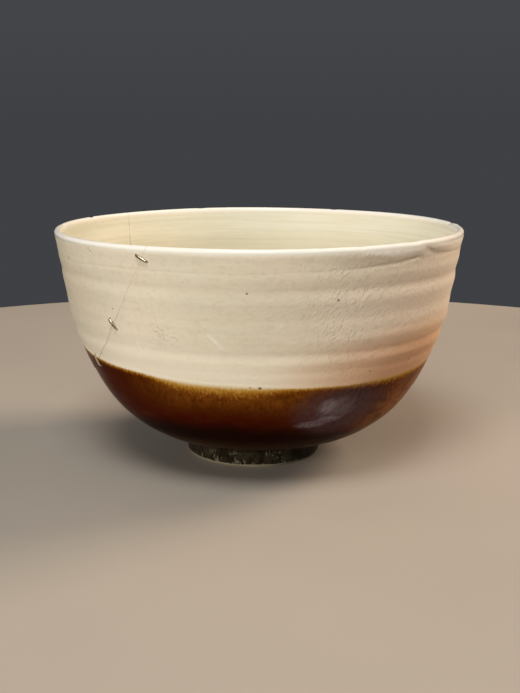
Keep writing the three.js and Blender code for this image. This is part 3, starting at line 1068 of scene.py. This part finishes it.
def painted_reflection(s, colour):
    """A painted reflection in the brown glaze at the right of the front: a bluish sheen with
    brighter painted glints.
    """
    combed = s.fade(s.dashes((0.25, 0.1, 0.95), 0.8, 7.0, shift=4.0), 0.30, 0.70, 0.45, 1.0)
    # Painted reflection and glints, combed into streaks.
    for where, tint in REFLECTION_PATCHES:
        colour = s.mix(s.times(s.patch(*where), combed), colour, tint)
    return colour


def brown_glaze(s, depth):
    """Iron glaze: a golden upper edge with hairy streaks over a deep amber body, with painted shade
    above the foot and painted reflections.
    """
    # The edge ran broad and pale at the left of the front, and less so at the right.
    broad = s.math("MAXIMUM", s.patch(*BROAD_EDGE), s.patch(*BROAD_EDGE_RIGHT))
    hairs = s.noise(0.55, detail=4, stretch=(1, 1, 12), roughness=0.65)
    hairs = s.fade(hairs, 0.25, 0.75, 0.55, 1.55)
    run = s.math("DIVIDE", s.times(depth, hairs), s.scaled(broad, 1.04, 0.50))
    golden = s.ramp(s.times(run, 0.25), GOLDEN_EDGE)
    # Painted shade under the belly: near black above the foot, reaching highest at the left of the
    # front. The same level also sets where the amber body darkens.
    shade_rise = s.math("MINIMUM", s.math("SUBTRACT", 1.0, s.towards(255)), 0.6)
    level = s.scaled(shade_rise, 14.0, s.z)
    edge_end = s.scaled(broad, 0.6, 0.7)
    colour = s.mix(s.fade(run, edge_end, 3.4), golden, amber_body(s, level))
    painted_shade_level = s.scaled(s.noise(7, detail=4, shift=6.0), 3.0, level)
    colour = s.mix(s.fade(painted_shade_level, 19.3, 25.3, 0.95, 0.0), colour, BROWN_PAINTED_SHADE)
    colour = painted_reflection(s, colour)
    # A painted reflection: the neck of the foot is painted lighter tan, most of all at the left.
    left = s.fade(s.towards(208), 0.6, 0.99, 0.35, 0.75)
    neck = s.fade(s.z, 10, 15.5, 1.0, 0.0)
    return s.mix(s.times(left, neck), colour, BROWN_PAINTED_REFLECTION)


def wall_glaze():
    """Cream over the wall and brown below the dip line, fired as one skin."""
    s = Shading("wall_glaze")
    tipped = s.scaled(s.towards(DIP_AZIMUTH), DIP_TILT, DIP_HEIGHT)
    drift = s.scaled(s.noise(15, detail=1, stretch=(1, 1, 4)), 1.0, -0.5)
    teeth = s.scaled(s.noise(0.6, detail=3, stretch=(1, 1, 8)), 0.7, -0.35)
    line = s.math("ADD", tipped, s.math("ADD", drift, teeth))
    depth = s.math("SUBTRACT", line, s.z)
    softness = s.scaled(s.patch(*BROAD_EDGE), 0.7, 0.22)
    in_brown = s.fade(s.math("DIVIDE", depth, softness), -1.0, 1.0)
    dashes = s.fade(s.dashes((0.49, 0.34, 0.80), 0.55, 1.6), 0.52, 0.66)
    scuffs = s.times(dashes, s.math("MAXIMUM", *(s.patch(*where) for where in SCUFFED)))
    colour = s.mix(in_brown, cream_wall(s, depth, scuffs), brown_glaze(s, depth))

    ripple = s.noise(0.9, detail=3, stretch=(9, 9, 1))
    # The glaze is smoothest at the left and pitted like plaster at the right.
    rough = s.fade(s.towards(315), -0.1, 0.8, 0.30, 1.0)
    peel = s.times(s.noise(1.4, detail=4, roughness=0.65), rough)
    normal = s.bump(peel, 0.75, 0.20, s.bump(ripple, 0.26, 0.08))
    normal = s.bump(scuffs, 0.9, 0.14, normal)
    wear = s.noise(7, detail=4, roughness=0.6, shift=2.0)
    roughness = s.math("ADD", s.fade(in_brown, 0, 1, 0.30, 0.16),
                       s.fade(wear, 0.35, 0.85, 0.0, 0.07))
    return s.finish(wall_marks(s, colour), roughness, normal, IOR=GLAZE_IOR,
                    Specular_IOR_Level=0.006)


def cup_glaze():
    """Cream glaze on the lip and inside the bowl, a little yellower inside."""
    s = Shading("cup_glaze")
    inside = s.fade(s.z, HEIGHT - 3, HEIGHT - 0.8, 0.75, 0.0)
    deeper = s.mix(s.fade(s.z, HEIGHT - 16, HEIGHT - 4), CUP_LOW, CUP_HIGH)
    colour = s.mix(inside, cream_colour(s), deeper)
    lines = s.fade(s.noise(1.1, detail=3, stretch=(40, 40, 1), shift=7.0), 0.44, 0.70, 0.0, 0.5)
    colour = s.mix(s.times(lines, inside), colour, CUP_LINED)
    shaded = s.times(s.fade(s.towards(195), 0.70, 1.0), s.fade(s.z, 30, 60))
    colour = s.mix(s.times(shaded, inside), colour, CUP_SHADED)
    pool = s.fade(s.z, FLOOR_HEIGHT + 1, FLOOR_HEIGHT + 12, 0.45, 0.0)
    colour = s.mix(pool, colour, CUP_POOL)
    speck = s.vector("DISTANCE", s.place, INNER_SPECK)
    colour = s.mix(s.fade(speck, 0.3, 1.3, 0.6, 0.0), colour, IRON_SPOT)
    ripple = s.noise(0.8, detail=3, stretch=(12, 12, 1))
    normal = s.bump(s.noise(1.6, detail=3), 0.3, 0.10, s.bump(ripple, 0.6, 0.12))
    wear = s.noise(6, detail=4, roughness=0.6, shift=2.0)
    return s.finish(colour, s.fade(wear, 0.3, 0.85, 0.18, 0.27), normal, IOR=GLAZE_IOR)


def foot_surface():
    """Thin dark glaze on the foot, worn through to pale clay along the resting edge."""
    s = Shading("foot_surface")
    patches = s.noise(3.0, detail=5, stretch=(1, 1, 1.6), roughness=0.6)
    dark = s.mix(s.fade(patches, 0.40, 0.62), (0.014, 0.010, 0.005), (0.036, 0.027, 0.015))
    clay = s.mix(s.noise(1.1, detail=5), (0.44, 0.39, 0.26), (0.26, 0.20, 0.12))
    soiled = (0.06, 0.045, 0.028)
    clay = s.mix(s.fade(s.z, 0.8, 1.8, 0.0, 0.55), clay, soiled)
    # Wear is widest along the resting edge, most of all at the left.
    left = s.fade(s.towards(235), 0.2, 0.95, 0.28, 0.65)
    rubbed = s.fade(s.z, 0.3, 1.4, left, 0.0)
    for where in FOOT_WEAR:
        rubbed = s.math("MAXIMUM", rubbed, s.patch(*where, FOOT_WEAR_STRENGTH))
    ragged = s.noise(0.6, detail=4, stretch=(1, 1, 2.2), roughness=0.6, shift=8.0)
    worn = s.fade(s.math("ADD", ragged, rubbed), 0.68, 0.80, 0.0, 0.9)
    normal = s.bump(s.noise(0.5, detail=4), 0.5, 0.08, s.bump(worn, 0.6, -0.06))
    return s.finish(s.mix(worn, dark, clay), s.fade(worn, 0, 1, 0.34, 0.85), normal,
                    Specular_IOR_Level=0.08)


def toned(s, colour):
    """The break was stained to match the brown glaze where it runs through it."""
    return s.mix(s.fade(s.z, 34.5, 36.5, 1.0, 0.0), colour, BROWN_STAIN)


def broken_clay():
    """The pale buff clay seen in the broken edge."""
    s = Shading("broken_clay")
    grit = s.noise(0.7, detail=5, roughness=0.7)
    colour = s.mix(grit, (0.46, 0.37, 0.26), (0.62, 0.54, 0.42))
    return s.finish(toned(s, colour), s.fade(grit, 0.3, 0.7, 0.8, 0.95), s.bump(grit, 0.7, 0.15))


def lacquer():
    """Aged lacquer putty, cream where it is clean and brown where tea has stained it."""
    s = Shading("lacquer")
    stain = s.noise(5, detail=4, roughness=0.6)
    colour = s.mix(s.fade(stain, 0.42, 0.68), (0.62, 0.53, 0.40), (0.44, 0.35, 0.24))
    return s.finish(toned(s, colour), s.fade(stain, 0.3, 0.7, 0.4, 0.65), s.bump(stain, 0.4, 0.05))


def bronze_wire():
    """Old bronze wire, dark with age, and painted bright low down as a highlight on the lower
    staples.
    """
    s = Shading("bronze_wire")
    # Painted highlight: the wire is painted brighter, and made rougher, below about 40 mm.
    painted_highlight_low = s.fade(s.z, 37, 41, 0.45, 0.08)
    patina = s.math("ADD", s.noise(0.6, detail=4, roughness=0.65), painted_highlight_low)
    colour = s.mix(s.fade(patina, 0.38, 0.74), (0.26, 0.175, 0.085), (0.93, 0.82, 0.60))
    roughness = s.math("ADD", s.fade(patina, 0.35, 0.65, 0.34, 0.18), s.times(painted_highlight_low, 0.7))
    return s.finish(colour, roughness, s.bump(patina, 0.25, 0.03), Metallic=1.0)


# --- Assembly ---

def dress():
    glaze = [wall_glaze(), cup_glaze(), foot_surface(), broken_clay()]
    wire = bronze_wire()
    body = build_body(glaze)
    sherd = build_sherd(glaze)
    seam = build_seam(lacquer())
    pieces = [
        (body, "bowl_body", "glazed_stoneware"),
        (sherd, "stapled_sherd", "glazed_stoneware"),
        (seam, "seam_lacquer", "seam_lacquer"),
    ]
    for seed, (name, seat) in enumerate(STAPLES.items()):
        staple = build_staple(name, staple_seat(*seat), wire, seed)
        pieces.append((staple, name, "bronze_wire"))
    for piece, node, slot in pieces:
        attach(piece, "root")
        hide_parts(node)


# --- Studio ---

def make_floor():
    """A plain pale round table top."""
    mesh = bpy.data.meshes.new("floor")
    radius = FLOOR_RADIUS * MM
    turn = np.linspace(0, 2 * math.pi, FLOOR_CORNERS, endpoint=False)
    points = np.stack([radius * np.cos(turn), radius * np.sin(turn), 0 * turn], axis=1)
    mesh.from_pydata(points.tolist(), [], [list(range(len(points)))])
    floor = bpy.data.objects.new("floor", mesh)
    bpy.context.scene.collection.objects.link(floor)
    s = Shading("floor_surface")
    tone = s.noise(60, detail=4)
    colour = s.mix(tone, (0.41, 0.35, 0.29), (0.44, 0.375, 0.31))
    mesh.materials.append(s.finish(colour, s.fade(tone, 0.3, 0.7, 0.5, 0.6)))


def add_light(name, azimuth, elevation, watts, colour, mirrored):
    """A soft square light, placed by its direction from the middle of the bowl."""
    data = bpy.data.lights.new(name, "AREA")
    data.size = LIGHT_SIZE
    data.energy = watts
    data.color = colour
    light = bpy.data.objects.new(name, data)
    around, up = math.radians(azimuth), math.radians(elevation)
    away = Vector((math.cos(up) * math.cos(around), math.cos(up) * math.sin(around), math.sin(up)))
    light.location = Vector((0, 0, HEIGHT / 2 * MM)) + away * LIGHT_DISTANCE
    light.rotation_euler = away.to_track_quat("Z", "Y").to_euler()
    light.visible_glossy = mirrored
    bpy.context.scene.collection.objects.link(light)


def make_world():
    """A dim grey room, lighter above."""
    world = bpy.data.worlds.new("studio")
    bpy.context.scene.world = world
    world.use_nodes = True
    tree = world.node_tree
    background = tree.nodes["Background"]
    coordinates = tree.nodes.new("ShaderNodeTexCoord")
    split = tree.nodes.new("ShaderNodeSeparateXYZ")
    ramp = tree.nodes.new("ShaderNodeValToRGB")
    tree.links.new(coordinates.outputs["Generated"], split.inputs[0])
    tree.links.new(split.outputs["Z"], ramp.inputs[0])
    tree.links.new(ramp.outputs[0], background.inputs["Color"])
    low, high = ramp.color_ramp.elements
    low.color = (0.050, 0.052, 0.057, 1)
    high.position = 0.6
    high.color = (0.10, 0.10, 0.105, 1)


def make_camera():
    """Just above the rim, looking a little down at the front of the bowl."""
    data = bpy.data.cameras.new("camera")
    data.sensor_width = CAMERA_SENSOR
    data.lens = CAMERA_LENS
    data.clip_start = 0.01
    camera = bpy.data.objects.new("camera", data)
    rim = RIM_RADIUS * MM
    camera.location = (CAMERA_ASIDE * MM, -CAMERA_BACK * rim, CAMERA_UP * rim)
    camera.rotation_euler = Euler((math.radians(90 - CAMERA_TILT), 0, 0))
    bpy.context.scene.collection.objects.link(camera)
    bpy.context.scene.camera = camera


dress()
make_floor()
for light, settings in LIGHTS.items():
    add_light(light, *settings)
make_world()
make_camera()
bpy.context.scene.view_settings.view_transform = "Standard"
